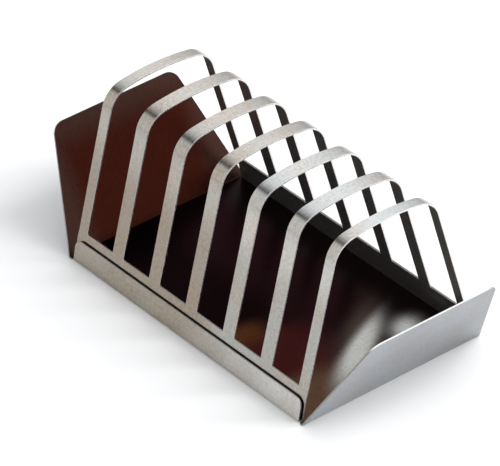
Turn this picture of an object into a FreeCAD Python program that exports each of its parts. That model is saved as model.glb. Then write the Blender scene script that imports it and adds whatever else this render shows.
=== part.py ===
import FreeCAD, Part
import os

import Sketcher

# Toast rack: a folded crumb tray and the arched rack that stands in it. Millimetres.
# +X runs along the length, +Y across, +Z up; the origin is the middle of the tray's underside.
# The rack is bent from one sheet. It is stored as its two side rails and its seven arches,
# which meet the rails face to face.

doc = FreeCAD.newDocument("toast_rack")

DIMENSIONS = [
    ("sheet", 0.7, "thickness of both sheets"),
    ("tray_width", 84.6, "across the folds of the side walls"),
    ("tray_length", 139.2, "between the folds of the end flaps"),
    ("fold", 1.0, "outer radius of the tray's folds"),
    ("wall_height", 9.4, "top of the side walls"),
    ("wall_lean", 10.5, "degrees the side walls lean in"),
    ("wall_setback", 2.5, "from an end fold to the end of a wall"),
    ("wall_corner", 3.6, "rounding of a wall's upper corners"),
    ("relief", 0.8, "width of the notch that frees a wall's end for folding"),
    ("heel", 2.0, "depth of that notch, in from the fold"),
    ("flap_slope", 59.6, "degrees from level"),
    ("flap_reach", 49.2, "up the slope from the fold"),
    ("flap_top", 58.0, "width of a flap's upper edge before rounding"),
    ("flap_corner", 5.5, "rounding of a flap's upper corners"),
    ("foot_half", 39.7, "half the width across the rails at the floor"),
    ("rail_half", 38.2, "half the width across the rails at their upper edge"),
    ("rail_top", 12.5, "height of the rails' upper edge"),
    ("rail_bend", 10.0, "outer radius where a rail turns inward"),
    ("lean", 15.2, "degrees the legs lean in"),
    ("shoulder", 10.7, "outer radius between leg and crown"),
    ("crown", 98.0, "outer radius of the crown"),
    ("crown_top", 71.3, "height of the crown"),
    ("slot", 15.5, "gap between neighbouring arches"),
    ("strip", 6.5, "width of an inner arch"),
    ("end_strip", 5.0, "width of the first and the last arch"),
]

dims = doc.addObject("Spreadsheet::Sheet", "dims")
for row, (alias, size, note) in enumerate(DIMENSIONS, start=1):
    dims.set("A%d" % row, alias)
    dims.set("B%d" % row, str(size))
    dims.set("C%d" % row, note)
    dims.setAlias("B%d" % row, alias)
doc.recompute()


def full(formula):
    """A formula with every dimension's name written as its cell in the sheet."""
    words = formula.split()
    names = [alias for alias, size, note in DIMENSIONS]
    return " ".join("dims." + word if word in names else word for word in words)


def number(formula):
    return float(dims.evalExpression(full(formula)))


def tan(angle):
    return "tan( %s * 1 deg )" % angle


def cos(angle):
    return "cos( %s * 1 deg )" % angle


def sin(angle):
    return "sin( %s * 1 deg )" % angle


def new_body(label):
    body = doc.addObject("PartDesign::Body", label)
    body.Label = label
    return body


def new_sketch(body, name, role):
    sketch = body.newObject("Sketcher::SketchObject", name)
    plane = [feature for feature in body.Origin.OriginFeatures if feature.Role == role][0]
    sketch.AttachmentSupport = [(plane, "")]
    sketch.MapMode = "FlatFace"
    return sketch


def drive(sketch, kind, target, formula, origin=()):
    """Add a constraint whose size follows a formula."""
    index = sketch.addConstraint(Sketcher.Constraint(kind, *origin, *target, number(formula)))
    sketch.setExpression("Constraints[%d]" % index, full(formula))


def place_point(sketch, point, across, up):
    drive(sketch, "DistanceX", point, across, (-1, 1))
    drive(sketch, "DistanceY", point, up, (-1, 1))


def join_ends(sketch, first, count):
    for step in range(count):
        following = first + (step + 1) % count
        sketch.addConstraint(Sketcher.Constraint("Coincident", first + step, 2, following, 1))


def outline(sketch, corners):
    """Closed outline of straight lines through corners given as pairs of formulas."""
    points = [FreeCAD.Vector(number(across), number(up), 0) for across, up in corners]
    first = sketch.GeometryCount
    for start, end in zip(points, points[1:] + points[:1]):
        sketch.addGeometry(Part.LineSegment(start, end), False)
    join_ends(sketch, first, len(corners))
    for step, (across, up) in enumerate(corners):
        place_point(sketch, (first + step, 1), across, up)


def mirrored(corners):
    return [("-1 * ( %s )" % across, up) for across, up in corners]


def pad(body, sketch, name, formula):
    feature = body.newObject("PartDesign::Pad", name)
    feature.Profile = sketch
    feature.Midplane = True
    feature.setExpression("Length", full(formula))
    sketch.Visibility = False
    return feature


def cut_through(body, sketch, name):
    feature = body.newObject("PartDesign::Pocket", name)
    feature.Profile = sketch
    feature.Type = "ThroughAll"
    feature.Midplane = True
    sketch.Visibility = False
    return feature


def round_edges(body, name, formula, wanted):
    """Fillet the edges whose middle and length pass the test."""
    doc.recompute()
    base = body.Tip
    picked = [
        "Edge%d" % index
        for index, edge in enumerate(base.Shape.Edges, start=1)
        if wanted(edge.CenterOfMass, edge.Length)
    ]
    feature = body.newObject("PartDesign::Fillet", name)
    feature.Base = (base, picked)
    feature.setExpression("Radius", full(formula))
    return feature


def near(first, second):
    return abs(first - second) < 0.02


# ---------------------------------------------------------------- crumb tray
HALF_LENGTH = "tray_length / 2"
HALF_WIDTH = "tray_width / 2"
FLAP_RUN = "flap_reach * " + cos("flap_slope")
FLAP_RISE = "flap_reach * " + sin("flap_slope")
WALL_SPAN = "tray_length - 2 * wall_setback"
HEEL = HALF_WIDTH + " - heel"


def taper_flap(body, name, end):
    """Narrow one flap towards its upper edge, drawn on the flap's own outer face."""
    sketch = new_sketch(body, name + "_outline", "YZ_Plane")
    tilt = "90 - flap_slope" if end > 0 else "flap_slope - 90"
    turn = FreeCAD.Rotation(FreeCAD.Vector(1, 0, 0), number(tilt))
    sketch.AttachmentOffset = FreeCAD.Placement(FreeCAD.Vector(0, 0, end * number(HALF_LENGTH)), turn)
    sketch.setExpression("AttachmentOffset.Base.z", full("%d * tray_length / 2" % end))
    sketch.setExpression("AttachmentOffset.Rotation.Angle", full(tilt))
    taper = "( tray_width - flap_top ) / 2 / flap_reach"
    waste = [
        (HALF_WIDTH + " - sheet * " + taper, "sheet"),
        (HALF_WIDTH + " - ( flap_reach + 2 ) * " + taper, "flap_reach + 2"),
        (HALF_WIDTH + " + 5", "flap_reach + 2"),
        (HALF_WIDTH + " + 5", "sheet"),
    ]
    outline(sketch, waste)
    outline(sketch, mirrored(waste))
    cut_through(body, sketch, name)


def build_tray():
    body = new_body("crumb_tray")

    # Floor and both end flaps, seen from the side.
    side = new_sketch(body, "floor_and_flaps", "XZ_Plane")
    front = [
        (HALF_LENGTH, "0"),
        (HALF_LENGTH + " + " + FLAP_RUN, FLAP_RISE),
        (
            HALF_LENGTH + " + " + FLAP_RUN + " - sheet * " + sin("flap_slope"),
            FLAP_RISE + " + sheet * " + cos("flap_slope"),
        ),
        (HALF_LENGTH + " - sheet * " + tan("flap_slope / 2"), "sheet"),
    ]
    outline(side, front + mirrored(front)[::-1])
    pad(body, side, "folded_strip", "tray_width")

    half = number(HALF_LENGTH)
    inner_fold = half - number("sheet * " + tan("flap_slope / 2"))
    width = number("tray_width")
    round_edges(body, "end_folds_outside", "fold",
                lambda middle, length: near(abs(middle.x), half) and near(middle.z, 0) and near(length, width))
    round_edges(body, "end_folds_inside", "fold - sheet",
                lambda middle, length: near(abs(middle.x), inner_fold) and near(length, width))

    taper_flap(body, "front_taper", 1)
    taper_flap(body, "back_taper", -1)

    # The floor's edge is folded up into the side walls, freed by a notch at each end.
    notch_end = "( " + WALL_SPAN + " ) / 2 + relief"
    plan = new_sketch(body, "wall_notches", "XY_Plane")
    notch = [
        (notch_end, HEEL),
        (notch_end, HALF_WIDTH + " + 1"),
        ("-1 * ( " + notch_end + " )", HALF_WIDTH + " + 1"),
        ("-1 * ( " + notch_end + " )", HEEL),
    ]
    outline(plan, notch)
    outline(plan, [(across, "-1 * ( %s )" % up) for across, up in notch])
    cut_through(body, plan, "notches")

    section = new_sketch(body, "wall_section", "YZ_Plane")
    wall = [
        (HALF_WIDTH, "0"),
        (HALF_WIDTH + " - wall_height * " + tan("wall_lean"), "wall_height"),
        (
            HALF_WIDTH + " - wall_height * " + tan("wall_lean") + " - sheet * " + cos("wall_lean"),
            "wall_height - sheet * " + sin("wall_lean"),
        ),
        (HALF_WIDTH + " - sheet * " + tan("wall_lean") + " - sheet / " + cos("wall_lean"), "sheet"),
        (HEEL, "sheet"),
        (HEEL, "0"),
    ]
    outline(section, wall)
    outline(section, mirrored(wall))
    pad(body, section, "walls", WALL_SPAN)

    half_width = number(HALF_WIDTH)
    span = number(WALL_SPAN)
    inner_corner = number(wall[3][0])
    round_edges(body, "wall_folds_outside", "fold",
                lambda middle, length: near(abs(middle.y), half_width) and near(middle.z, 0) and near(length, span))
    round_edges(body, "wall_folds_inside", "fold - sheet",
                lambda middle, length: near(abs(middle.y), inner_corner) and near(length, span))

    wall_mid = (number(wall[1][1]) + number(wall[2][1])) / 2
    round_edges(body, "wall_corners", "wall_corner",
                lambda middle, length: near(middle.z, wall_mid) and near(abs(middle.x), span / 2) and length < 1)

    flap_high = number(front[2][1])
    round_edges(body, "flap_corners", "flap_corner",
                lambda middle, length: middle.z > flap_high - 0.4 and abs(middle.y) > 10 and length < 2)
    return body


# ---------------------------------------------------------------- rack
RACK_LENGTH = "2 * end_strip + 5 * strip + 6 * slot"
PITCH = "( strip + slot )"
END = "( 2.5 * strip + 3 * slot + end_strip / 2 )"
BEND_HEIGHT = "rail_top - ( foot_half - rail_half ) / " + tan("lean")


def build_rail(label, turn):
    """One side rail, standing on the tray's floor inside a wall."""
    body = new_body(label)
    section = new_sketch(body, label + "_section", "YZ_Plane")
    outline(section, mirrored([
        ("foot_half", "sheet"),
        ("foot_half", BEND_HEIGHT),
        ("rail_half", "rail_top"),
        ("rail_half - sheet / " + cos("lean"), "rail_top"),
        ("foot_half - sheet", BEND_HEIGHT + " - sheet * " + tan("lean / 2")),
        ("foot_half - sheet", "sheet"),
    ]))
    pad(body, section, label + "_strip", RACK_LENGTH)

    bend_outside = number(BEND_HEIGHT)
    bend_inside = bend_outside - number("sheet * " + tan("lean / 2"))
    long_edge = number(RACK_LENGTH)
    round_edges(body, label + "_bend_outside", "rail_bend",
                lambda middle, length: near(middle.z, bend_outside) and near(length, long_edge))
    round_edges(body, label + "_bend_inside", "rail_bend - sheet",
                lambda middle, length: near(middle.z, bend_inside) and near(length, long_edge))
    body.Placement = FreeCAD.Placement(FreeCAD.Vector(), FreeCAD.Rotation(FreeCAD.Vector(0, 0, 1), turn))
    return body


def draw_arch(sketch, half, foot, radius):
    """Two leaning legs under a shallow crown, closed by a line between the feet."""
    base_half = number(half)
    base = number(foot)
    centre = number("crown_top - crown")
    size = number(radius)
    slope = number(tan("lean"))
    top = base
    for step in range(30):
        reach = base_half - (top - base) * slope
        top = centre + (size * size - reach * reach) ** 0.5
    corner = FreeCAD.Vector(base_half - (top - base) * slope, top, 0)
    opposite = FreeCAD.Vector(-corner.x, corner.y, 0)
    apex = FreeCAD.Vector(0, centre + size, 0)
    right = FreeCAD.Vector(base_half, base, 0)
    left = FreeCAD.Vector(-base_half, base, 0)
    sketch.addGeometry(Part.LineSegment(left, right), False)
    sketch.addGeometry(Part.LineSegment(right, corner), False)
    sketch.addGeometry(Part.Arc(corner, apex, opposite), False)
    sketch.addGeometry(Part.LineSegment(opposite, left), False)
    join_ends(sketch, 0, 4)
    place_point(sketch, (0, 1), "-1 * ( %s )" % half, foot)
    place_point(sketch, (0, 2), half, foot)
    drive(sketch, "Angle", (1,), "( 90 + lean ) * 1 deg")
    drive(sketch, "Angle", (3,), "( 270 - lean ) * 1 deg")
    drive(sketch, "Radius", (2,), radius)
    sketch.addConstraint(Sketcher.Constraint("PointOnObject", 2, 3, -2))
    drive(sketch, "DistanceY", (2, 3), "crown_top - crown", (-1, 1))


def is_shoulder(middle, radius):
    """Whether a point lies on the crown's circle, high up."""
    centre = number("crown_top - crown")
    reach = ((middle.z - centre) ** 2 + middle.y ** 2) ** 0.5
    return middle.z > 50 and near(reach, number(radius))


def build_arch(label, width, place):
    """One arch, standing on the upper edges of both rails."""
    body = new_body(label)
    outer = new_sketch(body, label + "_outer", "YZ_Plane")
    draw_arch(outer, "rail_half", "rail_top", "crown")
    pad(body, outer, label + "_block", width)

    # The hollow starts lower than the feet, so it is a little wider there.
    inner = new_sketch(body, label + "_inner", "YZ_Plane")
    draw_arch(inner, "rail_half - sheet / " + cos("lean") + " + " + tan("lean"), "rail_top - 1",
              "crown - sheet")
    cut_through(body, inner, label + "_hollow")

    strip = number(width)
    round_edges(body, label + "_shoulder_outside", "shoulder",
                lambda middle, length: near(length, strip) and is_shoulder(middle, "crown"))
    round_edges(body, label + "_shoulder_inside", "shoulder - sheet",
                lambda middle, length: near(length, strip) and is_shoulder(middle, "crown - sheet"))
    body.setExpression("Placement.Base.x", full(place))
    return body


build_tray()
build_rail("rail_right", 0)
build_rail("rail_left", 180)
build_arch("arch_1", "end_strip", END)
build_arch("arch_2", "strip", "2 * " + PITCH)
build_arch("arch_3", "strip", PITCH)
build_arch("arch_4", "strip", "0 * " + PITCH)
build_arch("arch_5", "strip", "-1 * " + PITCH)
build_arch("arch_6", "strip", "-2 * " + PITCH)
build_arch("arch_7", "end_strip", "-1 * " + END)
doc.recompute()

for item in doc.Objects:
    if "Invalid" in item.State or "Error" in item.State:
        raise RuntimeError(item.Name + " failed to recompute")

os.makedirs("parts", exist_ok=True)
for body in doc.findObjects("PartDesign::Body"):
    if body.Shape.isNull() or not body.Shape.isValid():
        raise RuntimeError(body.Label + " has no valid shape")
    body.Shape.exportStep("parts/%s.step" % body.Label)
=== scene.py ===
import math

import bmesh
import bpy
from mathutils import Matrix, Vector


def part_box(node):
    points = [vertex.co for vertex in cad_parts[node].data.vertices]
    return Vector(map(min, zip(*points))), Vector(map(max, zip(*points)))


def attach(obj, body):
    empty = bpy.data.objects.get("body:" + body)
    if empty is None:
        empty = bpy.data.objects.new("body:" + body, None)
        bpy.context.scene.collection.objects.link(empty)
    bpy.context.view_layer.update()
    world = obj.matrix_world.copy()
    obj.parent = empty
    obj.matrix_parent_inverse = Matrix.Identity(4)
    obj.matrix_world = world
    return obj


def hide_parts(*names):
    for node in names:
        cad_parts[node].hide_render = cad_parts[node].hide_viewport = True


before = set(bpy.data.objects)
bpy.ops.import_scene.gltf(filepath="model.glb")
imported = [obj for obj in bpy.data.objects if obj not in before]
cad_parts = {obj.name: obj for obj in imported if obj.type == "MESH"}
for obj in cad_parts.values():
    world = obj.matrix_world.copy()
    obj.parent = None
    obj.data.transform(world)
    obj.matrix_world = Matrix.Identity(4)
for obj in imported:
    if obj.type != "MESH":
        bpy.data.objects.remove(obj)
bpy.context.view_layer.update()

MM = 0.001
SHEET = 0.7 * MM
WORN_EDGE = 0.1 * MM
FLAT_UNIT = 10
ARCHES = ["arch_%d" % number for number in range(1, 8)]
RACK_NODES = ["rail_left", "rail_right"] + ARCHES


# ---------------------------------------------------------------- folded sheets
def folded_sheet(name, points, cells, bevel):
    """A closed sheet of metal.

    points: key -> (outer place, inner place, flat place), in metres and in flat units; cells: rings of keys.
    """
    mesh_maker = bmesh.new()
    flat = mesh_maker.loops.layers.uv.new("flat")
    outer = {}
    inner = {}
    place = {}
    used = {key for ring in cells for key in ring}
    for key in sorted(used):
        outside, inside, spread = points[key]
        outer[key] = mesh_maker.verts.new(outside)
        inner[key] = mesh_maker.verts.new(inside)
        place[outer[key]] = spread
        place[inner[key]] = spread
    open_edges = {}
    for ring in cells:
        mesh_maker.faces.new([outer[key] for key in ring])
        lining = mesh_maker.faces.new([inner[key] for key in reversed(ring)])
        lining.material_index = 2
        for start, end in zip(ring, ring[1:] + ring[:1]):
            if (end, start) in open_edges:
                del open_edges[(end, start)]
            else:
                open_edges[(start, end)] = True
    rims = []
    for start, end in open_edges:
        rims.append(mesh_maker.faces.new([outer[end], outer[start], inner[start], inner[end]]))
    for face in mesh_maker.faces:
        face.smooth = True
        for loop in face.loops:
            loop[flat].uv = place[loop.vert]
    for face in rims:
        face.material_index = 1
    bmesh.ops.recalc_face_normals(mesh_maker, faces=mesh_maker.faces[:])
    mesh = bpy.data.meshes.new(name)
    mesh_maker.to_mesh(mesh)
    mesh_maker.free()
    piece = bpy.data.objects.new(name, mesh)
    bpy.context.scene.collection.objects.link(piece)
    edge = piece.modifiers.new("worn_edge", "BEVEL")
    edge.width = bevel
    edge.segments = 2
    edge.limit_method = "ANGLE"
    edge.angle_limit = math.radians(50)
    edge.use_clamp_overlap = False
    edge.harden_normals = True
    return piece


def steps(start, end, count):
    return [start + (end - start) * index / count for index in range(count + 1)]


# ---------------------------------------------------------------- rack
# Lengths in millimetres; a HALF is measured from the middle.
FOOT_CLEARANCE = 0.02
KNEE = 9.4
KNEE_HALF = 39.25
RAIL_HALF = 38.2
RAIL_TOP = 12.5
RAIL_BEND = 10.0
LEAN = math.radians(15.2)
WALL_LEAN = math.radians(10.5)
SHOULDER = 10.7
CROWN = 98.0
CROWN_TOP = 71.3


def rack_profile():
    """Half of the rack's outer line seen from the end, foot to apex: (y, z, angle of the outward normal)."""
    # At rest the rails' feet spring out and lie along the leaning walls, with their inner rims just above
    # the tray's floor. Above the walls they lean in a little more, up to the slots.
    lower_lean = math.atan((KNEE_HALF - RAIL_HALF) / (RAIL_TOP - KNEE))
    bend_start = KNEE - RAIL_BEND * math.tan((lower_lean - WALL_LEAN) / 2) * math.cos(WALL_LEAN)
    line = []
    foot = SHEET / MM * (1 + math.sin(WALL_LEAN)) + FOOT_CLEARANCE
    for z in steps(foot, bend_start, 2):
        line.append((KNEE_HALF + (KNEE - z) * math.tan(WALL_LEAN), z, WALL_LEAN))
    for angle in steps(WALL_LEAN, lower_lean, 3)[1:]:
        y = line[2][0] + RAIL_BEND * (math.cos(angle) - math.cos(WALL_LEAN))
        z = bend_start + RAIL_BEND * (math.sin(angle) - math.sin(WALL_LEAN))
        line.append((y, z, angle))

    inward = Vector((-math.cos(LEAN), -math.sin(LEAN)))
    along = Vector((-math.sin(LEAN), math.cos(LEAN)))
    crown_centre = Vector((0.0, CROWN_TOP - CROWN))
    start = Vector((RAIL_HALF, RAIL_TOP))
    gap = start + inward * SHOULDER - crown_centre
    middle = gap.dot(along)
    reach = -middle + math.sqrt(middle * middle - gap.length_squared + (CROWN - SHOULDER) ** 2)
    for share in steps(0.0, 1.0, 6):
        spot = start + along * reach * share
        line.append((spot.x, spot.y, LEAN))
    bend_centre = start + inward * SHOULDER + along * reach
    outward = bend_centre - crown_centre
    crown_start = math.atan2(outward.y, outward.x)
    for angle in steps(LEAN, crown_start, 12)[1:]:
        y = bend_centre.x + SHOULDER * math.cos(angle)
        z = bend_centre.y + SHOULDER * math.sin(angle)
        line.append((y, z, angle))
    for angle in steps(crown_start, math.pi / 2, 12)[1:]:
        line.append((CROWN * math.cos(angle), crown_centre.y + CROWN * math.sin(angle), angle))
    return line


def build_rack():
    half = rack_profile()
    rail_rows = next(index for index, spot in enumerate(half) if abs(spot[1] - RAIL_TOP) < 1e-6)
    whole = half + [(-y, z, math.pi - angle) for y, z, angle in half[-2::-1]]
    last = len(whole) - 1

    spans = []
    for node in ARCHES:
        low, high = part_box(node)
        spans.append((low.x / MM, high.x / MM))
    spans.sort()
    lines = []
    strip_columns = set()
    for low, high in spans:
        for x in steps(low, high, 3):
            lines.append(x)
        strip_columns.update(range(len(lines) - 4, len(lines) - 1))

    points = {}
    length = 0.0
    for row, (y, z, angle) in enumerate(whole):
        if row:
            length += math.hypot(y - whole[row - 1][0], z - whole[row - 1][1])
        for column, x in enumerate(lines):
            outside = Vector((x, y, z)) * MM
            inside = outside - Vector((0.0, math.cos(angle), math.sin(angle))) * SHEET
            points[(column, row)] = (outside, inside, (x * MM * FLAT_UNIT, length * MM * FLAT_UNIT))
    cells = []
    for column in range(len(lines) - 1):
        for row in range(last):
            in_rail = row < rail_rows or row >= last - rail_rows
            if in_rail or column in strip_columns:
                cells.append([(column, row), (column + 1, row), (column + 1, row + 1), (column, row + 1)])
    return folded_sheet("rack_sheet", points, cells, WORN_EDGE)


# ---------------------------------------------------------------- crumb tray
HALF_LENGTH = 69.6
HALF_WIDTH = 42.3
FOLD = 1.0
WALL_HEIGHT = 9.4
WALL_END = 67.1
WALL_CORNER = 3.6
RELIEF = 0.8
HEEL = 2.0
SLOPE = math.radians(59.6)
REACH = 49.2
FLAP_TOP_HALF = 29.0
FLAP_CORNER = 5.5
FLOOR_STEPS = 12


def tray_columns():
    """Stations from the middle to the front end.

    Each is (x, z, angle from level, half width, developed x, wall length or None where there is no wall).
    """
    wall = WALL_HEIGHT / math.cos(WALL_LEAN)
    columns = []
    for x in steps(0.0, WALL_END - WALL_CORNER, 8):
        columns.append((x, 0.0, 0.0, HALF_WIDTH, x, wall))
    for angle in steps(0.0, math.pi / 2, 8)[1:]:
        x = WALL_END - WALL_CORNER + WALL_CORNER * math.sin(angle)
        columns.append((x, 0.0, 0.0, HALF_WIDTH, x, wall - WALL_CORNER * (1 - math.cos(angle))))
    tangent = FOLD * math.tan(SLOPE / 2)
    for x in (WALL_END + RELIEF, HALF_LENGTH - tangent):
        columns.append((x, 0.0, 0.0, HALF_WIDTH, x, None))
    for angle in steps(0.0, SLOPE, 6)[1:]:
        x = HALF_LENGTH - tangent + FOLD * math.sin(angle)
        developed = HALF_LENGTH - tangent + FOLD * angle
        columns.append((x, FOLD - FOLD * math.cos(angle), angle, HALF_WIDTH, developed, None))

    taper = (HALF_WIDTH - FLAP_TOP_HALF) / REACH
    tilt = math.atan(taper)
    centre_up = REACH - FLAP_CORNER
    centre_across = HALF_WIDTH - taper * centre_up - FLAP_CORNER / math.cos(tilt)
    straight_end = centre_up + FLAP_CORNER * math.sin(tilt)
    sides = [(up, HALF_WIDTH - taper * up) for up in steps(tangent, straight_end, 8)]
    for angle in steps(tilt, math.pi / 2, 10)[1:]:
        up = centre_up + FLAP_CORNER * math.sin(angle)
        sides.append((up, centre_across + FLAP_CORNER * math.cos(angle)))
    for up, half in sides[1:]:
        x = HALF_LENGTH + up * math.cos(SLOPE)
        developed = HALF_LENGTH - tangent + FOLD * SLOPE + up - tangent
        columns.append((x, up * math.sin(SLOPE), SLOPE, half, developed, None))
    return columns


def wall_rows(top):
    """The folded wall beside the heel: (y, z, angle of the outward normal below level, developed y)."""
    turn = math.pi / 2 + WALL_LEAN
    tangent = FOLD * math.tan(turn / 2)
    rows = [(HALF_WIDTH - tangent, 0.0, 0.0, HALF_WIDTH - tangent)]
    for angle in steps(0.0, turn, 8)[1:]:
        y = HALF_WIDTH - tangent + FOLD * math.sin(angle)
        rows.append((y, FOLD - FOLD * math.cos(angle), angle, HALF_WIDTH - tangent + FOLD * angle))
    flat = HALF_WIDTH - tangent + FOLD * turn
    for up in steps(tangent, top, 3)[1:]:
        y = HALF_WIDTH - up * math.sin(WALL_LEAN)
        rows.append((y, up * math.cos(WALL_LEAN), turn, flat + up - tangent))
    return rows


def build_tray():
    half = tray_columns()
    heel = HALF_WIDTH - HEEL
    floor_rows = steps(-heel, heel, FLOOR_STEPS)
    points = {}
    cells = []
    for end in (1, -1):
        for column, (x, z, angle, half_width, spread, wall) in enumerate(half):
            up = Vector((-math.sin(angle) * end, 0.0, math.cos(angle)))
            index = column * end
            for row, y in enumerate(floor_rows):
                across = y * half_width / HALF_WIDTH
                outside = Vector((x * end, across, z)) * MM
                spot = (spread * end * MM * FLAT_UNIT, across * MM * FLAT_UNIT)
                points[(index, row)] = (outside, outside + up * SHEET, spot)
            for side in (1, -1):
                first = FLOOR_STEPS if side > 0 else 0
                if wall is None:
                    outside = Vector((x * end, side * half_width, z)) * MM
                    spot = (spread * end * MM * FLAT_UNIT, side * half_width * MM * FLAT_UNIT)
                    points[(index, first + side)] = (outside, outside + up * SHEET, spot)
                    continue
                for step, (y, height, turn, flat) in enumerate(wall_rows(wall), start=1):
                    outside = Vector((x * end, side * y, height)) * MM
                    inward = Vector((0.0, -math.sin(turn) * side, math.cos(turn)))
                    spot = (spread * end * MM * FLAT_UNIT, side * flat * MM * FLAT_UNIT)
                    points[(index, first + side * step)] = (outside, outside + inward * SHEET, spot)

    walled = max(column for column, station in enumerate(half) if station[5] is not None)
    wall_steps = len(wall_rows(WALL_HEIGHT))
    for column in range(1 - len(half), len(half) - 1):
        nearer = min(abs(column), abs(column + 1))
        low, high = 0, FLOOR_STEPS
        if nearer < walled:
            low, high = -wall_steps, FLOOR_STEPS + wall_steps
        elif nearer > walled:
            low, high = -1, FLOOR_STEPS + 1
        for row in range(low, high):
            cells.append([(column, row), (column, row + 1), (column + 1, row + 1), (column + 1, row)])
    return folded_sheet("tray_sheet", points, cells, WORN_EDGE)


rack = build_rack()
tray = build_tray()


# ---------------------------------------------------------------- finish
def maths(tree, operation, first, second, clamp=False):
    """A Math node on two sockets or numbers; gives its output."""
    node = tree.nodes.new("ShaderNodeMath")
    node.operation = operation
    node.use_clamp = clamp
    for socket, value in zip(node.inputs, (first, second)):
        if isinstance(value, (int, float)):
            socket.default_value = value
        else:
            tree.links.new(value, socket)
    return node.outputs[0]


def blend_colours(tree, share, first, second):
    """Mix two colours, given as sockets or as red, green and blue, by a socket: 0 is the first."""
    node = tree.nodes.new("ShaderNodeMix")
    node.data_type = "RGBA"
    tree.links.new(share, node.inputs["Factor"])
    for socket, value in ((node.inputs[6], first), (node.inputs[7], second)):
        if isinstance(value, tuple):
            socket.default_value = (*value, 1.0)
        else:
            tree.links.new(value, socket)
    return node.outputs[2]


def noise(tree, place, scale, detail=2.0, roughness=0.5):
    node = tree.nodes.new("ShaderNodeTexNoise")
    node.inputs["Scale"].default_value = scale
    node.inputs["Detail"].default_value = detail
    node.inputs["Roughness"].default_value = roughness
    tree.links.new(place, node.inputs["Vector"])
    return node.outputs["Fac"]


def stretched(tree, place, scale, turn=0.0):
    node = tree.nodes.new("ShaderNodeMapping")
    node.inputs["Scale"].default_value = scale
    node.inputs["Rotation"].default_value = (0.0, 0.0, turn)
    tree.links.new(place, node.inputs["Vector"])
    return node.outputs[0]


def ramp(tree, value, low, high):
    """Smoothly from 0 at low to 1 at high, where low may be the larger."""
    node = tree.nodes.new("ShaderNodeMapRange")
    node.interpolation_type = "SMOOTHSTEP"
    node.inputs["From Min"].default_value = low
    node.inputs["From Max"].default_value = high
    tree.links.new(value, node.inputs["Value"])
    return node.outputs["Result"]


def tinted(tree, tone, tint):
    """One colour multiplied by another."""
    node = tree.nodes.new("ShaderNodeVectorMath")
    node.operation = "MULTIPLY"
    tree.links.new(tone, node.inputs[0])
    tree.links.new(tint, node.inputs[1])
    return node.outputs[0]


def brushed_steel(name, colour, warm, cool, roughness, grain_along_x, shade=None, grazing=(1.0, 1.0, 1.0),
                  metal=1.0):
    """Satin sheet brushed in one direction. The flat places are in tenths of a metre."""
    material = bpy.data.materials.new(name)
    material.use_nodes = True
    tree = material.node_tree
    shader = tree.nodes["Principled BSDF"]
    shader.inputs["Metallic"].default_value = metal
    shader.inputs["Base Color"].default_value = (*colour, 1.0)
    shader.inputs["Roughness"].default_value = roughness
    shader.inputs["Anisotropic"].default_value = 0.65
    shader.inputs["Specular Tint"].default_value = (*grazing, 1.0)

    spread = tree.nodes.new("ShaderNodeUVMap")
    spread.uv_map = "flat"
    place = spread.outputs[0]
    grain_scale = (5.0, 170.0, 1.0) if grain_along_x else (170.0, 5.0, 1.0)
    hair_scale = (22.0, 700.0, 1.0) if grain_along_x else (700.0, 22.0, 1.0)
    grain = noise(tree, stretched(tree, place, grain_scale), 1.0, 3.0, 0.6)
    hair = noise(tree, stretched(tree, place, hair_scale), 1.0, 2.0, 0.6)
    fleck = noise(tree, place, 70.0, 4.0, 0.75)
    drift = noise(tree, place, 5.0, 2.0, 0.5)

    tone = blend_colours(tree, ramp(tree, drift, 0.36, 0.66), warm, cool)
    tone = blend_colours(tree, ramp(tree, fleck, 0.3, 0.72), tone, colour)
    speckle = maths(tree, "MULTIPLY_ADD", fleck, 0.75)
    speckle.node.inputs[2].default_value = 0.625
    streak = maths(tree, "MULTIPLY_ADD", grain, 0.26)
    streak.node.inputs[2].default_value = 0.80
    fine = maths(tree, "MULTIPLY_ADD", hair, 0.22)
    fine.node.inputs[2].default_value = 0.89
    light = maths(tree, "MULTIPLY", maths(tree, "MULTIPLY", streak, fine), speckle)
    if shade is not None:
        tone = shade(tree, tone)
    scaled = tree.nodes.new("ShaderNodeVectorMath")
    scaled.operation = "SCALE"
    tree.links.new(tone, scaled.inputs[0])
    tree.links.new(light, scaled.inputs["Scale"])
    tree.links.new(scaled.outputs[0], shader.inputs["Base Color"])

    rough = maths(tree, "MULTIPLY_ADD", grain, 0.16)
    rough.node.inputs[2].default_value = roughness - 0.11
    rough = maths(tree, "ADD", rough, maths(tree, "MULTIPLY", fleck, 0.06))
    tree.links.new(rough, shader.inputs["Roughness"])

    bump = tree.nodes.new("ShaderNodeBump")
    bump.inputs["Strength"].default_value = 0.35
    bump.inputs["Distance"].default_value = 0.00002
    tree.links.new(maths(tree, "ADD", grain, maths(tree, "MULTIPLY", hair, 0.5)), bump.inputs["Height"])
    tree.links.new(bump.outputs[0], shader.inputs["Normal"])

    tangent = tree.nodes.new("ShaderNodeTangent")
    tangent.direction_type = "UV_MAP"
    tangent.uv_map = "flat"
    tree.links.new(tangent.outputs[0], shader.inputs["Tangent"])
    shader.inputs["Anisotropic Rotation"].default_value = 0.25 if grain_along_x else 0.0
    return material


def object_place(tree, output="Object"):
    """X, Y and Z of the place on the piece, or of its normal."""
    where = tree.nodes.new("ShaderNodeTexCoord")
    split = tree.nodes.new("ShaderNodeSeparateXYZ")
    tree.links.new(where.outputs[output], split.inputs[0])
    return split.outputs["X"], split.outputs["Y"], split.outputs["Z"]


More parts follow.
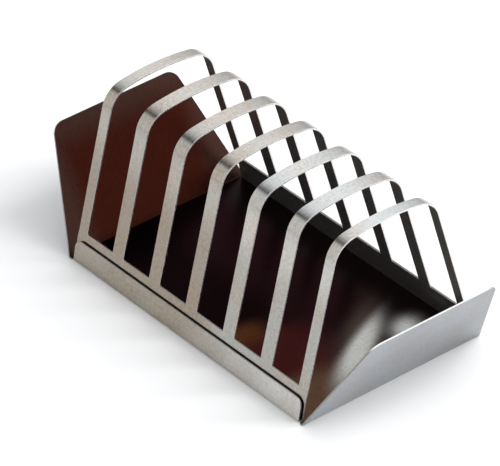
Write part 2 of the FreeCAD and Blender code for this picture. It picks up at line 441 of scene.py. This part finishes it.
def outside_painted_shade(tree, tone):
    """Painted shade: the walls are painted darker and warmer towards the back. Painted reflection: the flaps'
    outer faces are painted lighter and cooler.
    """
    x, y, _ = object_place(tree)
    # Painted shade: the walls are painted lighter at the front and darker and warmer towards the back.
    wall = blend_colours(tree, ramp(tree, x, 0.068, -0.016), (1.44, 1.43, 1.41), (0.92, 0.84, 0.73))
    # Painted reflection: the flaps' outer faces are painted lighter and bluer on the near side, darker
    # towards the far side.
    flap = blend_colours(tree, ramp(tree, y, -0.034, -0.004), (1.12, 1.17, 1.27), (0.97, 1.02, 1.11))
    flap = blend_colours(tree, ramp(tree, y, 0.0, 0.030), flap, (0.79, 0.83, 0.90))
    beyond = ramp(tree, maths(tree, "ABSOLUTE", x, 0.0), 0.0685, 0.0705)
    return tinted(tree, tone, blend_colours(tree, beyond, wall, flap))


def rack_painted_light(tree, tone):
    """Painted light: the legs are painted lighter towards the top; a painted warm reflection gives the rack
    from its middle back a straw colour.
    """
    x, _, z = object_place(tree)
    # Painted light: the legs are painted lighter towards the top, and the crowns lighter and cooler.
    leg = blend_colours(tree, ramp(tree, z, 0.038, 0.056), (0.92, 0.905, 0.885), (1.25, 1.245, 1.25))
    painted_leg_light = blend_colours(tree, ramp(tree, z, 0.057, 0.065), leg, (1.07, 1.08, 1.09))
    # Painted reflection: a warm straw colour, strongest low on the legs, from the middle of the rack back.
    painted_warm_reflection = blend_colours(tree, ramp(tree, z, 0.030, 0.062), (0.62, 0.46, 0.34), (0.84, 0.76, 0.68))
    warm_reflection_share = ramp(tree, x, 0.018, 0.002)
    return tinted(tree, tone, blend_colours(tree, maths(tree, "MULTIPLY", warm_reflection_share, 0.55), painted_leg_light, painted_warm_reflection))


def tray_rim_painted_shade(tree, tone):
    """Painted shade: the slanting rims are painted darker than the upper ones."""
    _, _, up = object_place(tree, "Normal")
    return blend_colours(tree, ramp(tree, up, 0.3, 0.6), (0.27, 0.26, 0.25), tone)


def rack_rim_painted_shade(tree, tone):
    """Painted shade: the rims that face up, along the slots' lower edges, are painted dark."""
    _, _, up = object_place(tree, "Normal")
    return blend_colours(tree, ramp(tree, up, 0.75, 0.9), tone, (0.20, 0.19, 0.175))


def inside_painted_shade_and_highlights(tree, tone):
    """Painted shade and painted reflections darken and brown the inside; painted highlights keep the front
    clearest, in two streaks and a faint third.
    """
    x, y, z = object_place(tree)
    slant_x, slant_y = 0.857, 0.514

    def spot(across, along, half_width, half_length):
        """1 in the middle, falling away smoothly."""
        first = maths(tree, "DIVIDE", across, half_width)
        second = maths(tree, "DIVIDE", along, half_length)
        off = maths(tree, "ADD", maths(tree, "MULTIPLY", first, first),
                    maths(tree, "MULTIPLY", second, second))
        return maths(tree, "EXPONENT", maths(tree, "MULTIPLY", off, -1.0), 0.0)

    def streak(centre_x, centre_y, half_width, half_length, strength):
        """A spot drawn out along a slanting line."""
        east = maths(tree, "SUBTRACT", x, centre_x)
        north = maths(tree, "SUBTRACT", y, centre_y)
        across = maths(tree, "ADD", maths(tree, "MULTIPLY", east, slant_x),
                       maths(tree, "MULTIPLY", north, slant_y))
        along = maths(tree, "SUBTRACT", maths(tree, "MULTIPLY", north, slant_x),
                      maths(tree, "MULTIPLY", east, slant_y))
        narrower = maths(tree, "MULTIPLY", y, -0.04)
        width = maths(tree, "ADD", narrower, half_width)
        return maths(tree, "MULTIPLY", spot(across, along, width, half_length), strength)

    # Painted shade and painted reflections: dark red, orange and brown tones under the slots, by the rails
    # and at the front, darker towards the far rail.
    red = (0.040, 0.0085, 0.0078)
    orange = blend_colours(tree, ramp(tree, y, -0.022, -0.010), (0.066, 0.022, 0.0090),
                           (0.010, 0.0040, 0.0040))
    floor = blend_colours(tree, ramp(tree, x, 0.004, 0.012), (0.0055, 0.0022, 0.0026), orange)
    floor = blend_colours(tree, ramp(tree, x, 0.014, 0.023), floor, red)
    floor = blend_colours(tree, ramp(tree, y, -0.013, 0.006), floor, (0.0125, 0.0045, 0.0055))
    slanting = maths(tree, "SUBTRACT", x, maths(tree, "MULTIPLY", y, 0.15))
    floor = blend_colours(tree, ramp(tree, slanting, 0.044, 0.058), floor, (0.090, 0.048, 0.028))
    floor = blend_colours(tree, ramp(tree, y, 0.020, 0.034), floor, (0.014, 0.009, 0.009))
    # Painted highlights: two streaks where the front of the floor is painted as clear steel, and a faint
    # third one painted lighter brown.
    painted_highlights = maths(tree, "ADD", streak(0.0478, 0.0030, 0.0049, 0.023, 1.0),
                  streak(0.0490, 0.0255, 0.0075, 0.0090, 0.78), True)
    floor = blend_colours(tree, streak(0.0375, 0.0090, 0.0050, 0.018, 0.9), floor, (0.050, 0.036, 0.030))
    floor = blend_colours(tree, ramp(tree, painted_highlights, 0.06, 0.84), floor, tone)

    # Painted shade on the back flap's inner face, painted lighter towards its top and sides.
    edge = maths(tree, "MAXIMUM", ramp(tree, z, 0.030, 0.043),
                 ramp(tree, maths(tree, "ABSOLUTE", y, 0.0), 0.024, 0.036))
    back = blend_colours(tree, maths(tree, "MULTIPLY", edge, 0.35), (0.048, 0.0100, 0.0062),
                         (0.080, 0.062, 0.048))
    inside = blend_colours(tree, ramp(tree, x, -0.067, -0.071), floor, back)
    return blend_colours(tree, ramp(tree, x, 0.069, 0.073), inside, tone)


GREY = (0.5, 0.5, 0.5)
steel = brushed_steel("rack_steel", (0.450, 0.439, 0.415), (0.440, 0.395, 0.340), (0.440, 0.450, 0.438), 0.20,
                      False, shade=rack_painted_light)
lining = brushed_steel("rack_lining", (0.44, 0.43, 0.41), (0.43, 0.40, 0.36), (0.44, 0.45, 0.44), 0.42, False,
                       metal=0.95)
outside = brushed_steel("tray_outside", (0.430, 0.428, 0.415), (0.405, 0.375, 0.335), (0.440, 0.445, 0.44),
                        0.32, True, shade=outside_painted_shade)
inside = brushed_steel("tray_inside", (0.42, 0.41, 0.385), (0.42, 0.41, 0.38), (0.41, 0.41, 0.39), 0.3, True,
                       shade=inside_painted_shade_and_highlights, grazing=GREY)
rack_edge = brushed_steel("rack_edge", (0.86, 0.85, 0.84), (0.84, 0.82, 0.79), (0.86, 0.86, 0.86), 0.3, True,
                          shade=rack_rim_painted_shade)
tray_edge = brushed_steel("tray_edge", (0.60, 0.60, 0.60), (0.58, 0.56, 0.54), (0.60, 0.60, 0.60), 0.3, True,
                          shade=tray_rim_painted_shade)
for piece, layers in ((rack, (steel, rack_edge, lining)), (tray, (outside, tray_edge, inside))):
    for layer in layers:
        piece.data.materials.append(layer)

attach(rack, "rack")
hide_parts(*RACK_NODES)
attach(tray, "tray")
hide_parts("crumb_tray")


# ---------------------------------------------------------------- floor, light and camera
def build_floor():
    mesh = bpy.data.meshes.new("floor")
    far = 6
    corners = [(-far, -far, 0), (far, -far, 0), (far, far, 0), (-far, far, 0)]
    mesh.from_pydata(corners, [], [(0, 1, 2, 3)])
    floor = bpy.data.objects.new("floor", mesh)
    bpy.context.scene.collection.objects.link(floor)
    material = bpy.data.materials.new("floor_white")
    material.use_nodes = True
    shader = material.node_tree.nodes["Principled BSDF"]
    shader.inputs["Base Color"].default_value = (0.525, 0.525, 0.525, 1.0)
    shader.inputs["Roughness"].default_value = 0.9
    shader.inputs["Specular IOR Level"].default_value = 0.1
    mesh.materials.append(material)


def build_world():
    """A studio: a wide ceiling of light, a strip of light on each side, and long panels on the left."""
    world = bpy.data.worlds.new("studio")
    world.use_nodes = True
    bpy.context.scene.world = world
    tree = world.node_tree
    where = tree.nodes.new("ShaderNodeTexCoord")
    split = tree.nodes.new("ShaderNodeSeparateXYZ")
    tree.links.new(where.outputs["Generated"], split.inputs[0])
    x, y, z = split.outputs["X"], split.outputs["Y"], split.outputs["Z"]

    height = tree.nodes.new("ShaderNodeValToRGB")
    tree.links.new(z, height.inputs["Fac"])
    stops = height.color_ramp.elements
    stops[0].position = 0.0
    stops[0].color = (0.9, 0.9, 0.9, 1)
    stops[1].position = 1.0
    stops[1].color = (2.0, 2.02, 2.06, 1)
    for position, level in ((0.12, 0.9), (0.28, 1.05), (0.57, 1.45), (0.8, 2.0)):
        stop = stops.new(position)
        stop.color = (level, level, level * 1.01, 1)

    # The left strip reaches down to the floor; a dark gap parts it from the ceiling.
    low = ramp(tree, z, 0.6, 0.3)
    left = maths(tree, "MULTIPLY", ramp(tree, y, -0.2, -0.5), low)
    light = blend_colours(tree, left, height.outputs["Color"], (1.15, 1.13, 1.10))
    right = maths(tree, "MULTIPLY", ramp(tree, x, 0.25, 0.75), low)
    light = blend_colours(tree, right, light, (1.25, 1.29, 1.36))

    # Long panels beside the tray: how bright they are by the angle round its length, from level on the left.
    turn = maths(tree, "ARCTAN2", z, maths(tree, "MULTIPLY", y, -1.0))
    panels = tree.nodes.new("ShaderNodeValToRGB")
    tree.links.new(maths(tree, "DIVIDE", turn, math.pi, True), panels.inputs["Fac"])
    stops = panels.color_ramp.elements
    stops[0].color = (0.92, 0.92, 0.92, 1)
    stops[1].color = (0.9, 0.9, 0.93, 1)
    levels = (
        (28, 0.95, 1.0), (36, 0.82, 1.0), (47, 0.72, 1.0), (57, 0.56, 1.0), (65, 0.22, 1.0), (69, 0.09, 1.0),
        (74, 0.09, 1.0), (79, 0.21, 1.01), (91, 0.42, 1.02), (101, 0.57, 1.03), (111, 0.70, 1.03),
        (117, 0.92, 1.03),
        (123, 1.08, 1.03), (133, 1.16, 1.03), (143, 1.14, 1.03), (148, 0.96, 1.03), (153, 0.9, 1.03),
    )
    for degrees, level, cool in levels:
        stop = stops.new(degrees / 180)
        stop.color = (level / cool, level, level * cool, 1)
    shaped = tree.nodes.new("ShaderNodeMix")
    shaped.data_type = "RGBA"
    shaped.blend_type = "MULTIPLY"
    beside = maths(tree, "MULTIPLY", ramp(tree, x, 0.1, -0.3), ramp(tree, x, -0.97, -0.85))
    tree.links.new(beside, shaped.inputs["Factor"])
    tree.links.new(light, shaped.inputs[6])
    tree.links.new(panels.outputs["Color"], shaped.inputs[7])
    tree.links.new(shaped.outputs[2], tree.nodes["Background"].inputs["Color"])


def build_key_light():
    """A long soft lamp high behind, which only models the floor's shadows: the steel mirrors the studio."""
    light = bpy.data.lights.new("key", "AREA")
    light.shape = "RECTANGLE"
    light.size = 2.4
    light.size_y = 0.7
    light.energy = 70.0
    lamp = bpy.data.objects.new("key", light)
    bpy.context.scene.collection.objects.link(lamp)
    lamp.location = (1.10, 1.22, 1.43)
    lamp.rotation_mode = "QUATERNION"
    lamp.rotation_quaternion = (-lamp.location).to_track_quat("-Z", "X")
    lamp.visible_glossy = False


def build_camera():
    azimuth, elevation, roll = math.radians(52.024), math.radians(35.034), math.radians(-1.708)
    distance = 1.901575
    target = Vector((-0.002026, -0.007856, 0.03147))
    back = Vector((
        math.sin(azimuth) * math.cos(elevation),
        -math.cos(azimuth) * math.cos(elevation),
        math.sin(elevation),
    ))
    level = (-back).cross(Vector((0, 0, 1))).normalized()
    upright = level.cross(-back)
    right = level * math.cos(roll) + upright * math.sin(roll)
    up = upright * math.cos(roll) - level * math.sin(roll)
    data = bpy.data.cameras.new("camera")
    data.sensor_width = 36.0
    data.lens = 369.864792
    data.clip_start = 0.1
    data.clip_end = 30.0
    camera = bpy.data.objects.new("camera", data)
    bpy.context.scene.collection.objects.link(camera)
    turn = Matrix((right, up, back)).transposed()
    camera.matrix_world = Matrix.Translation(target + back * distance) @ turn.to_4x4()
    bpy.context.scene.camera = camera


build_floor()
build_world()
build_key_light()
build_camera()
bpy.context.scene.view_settings.view_transform = "Standard"
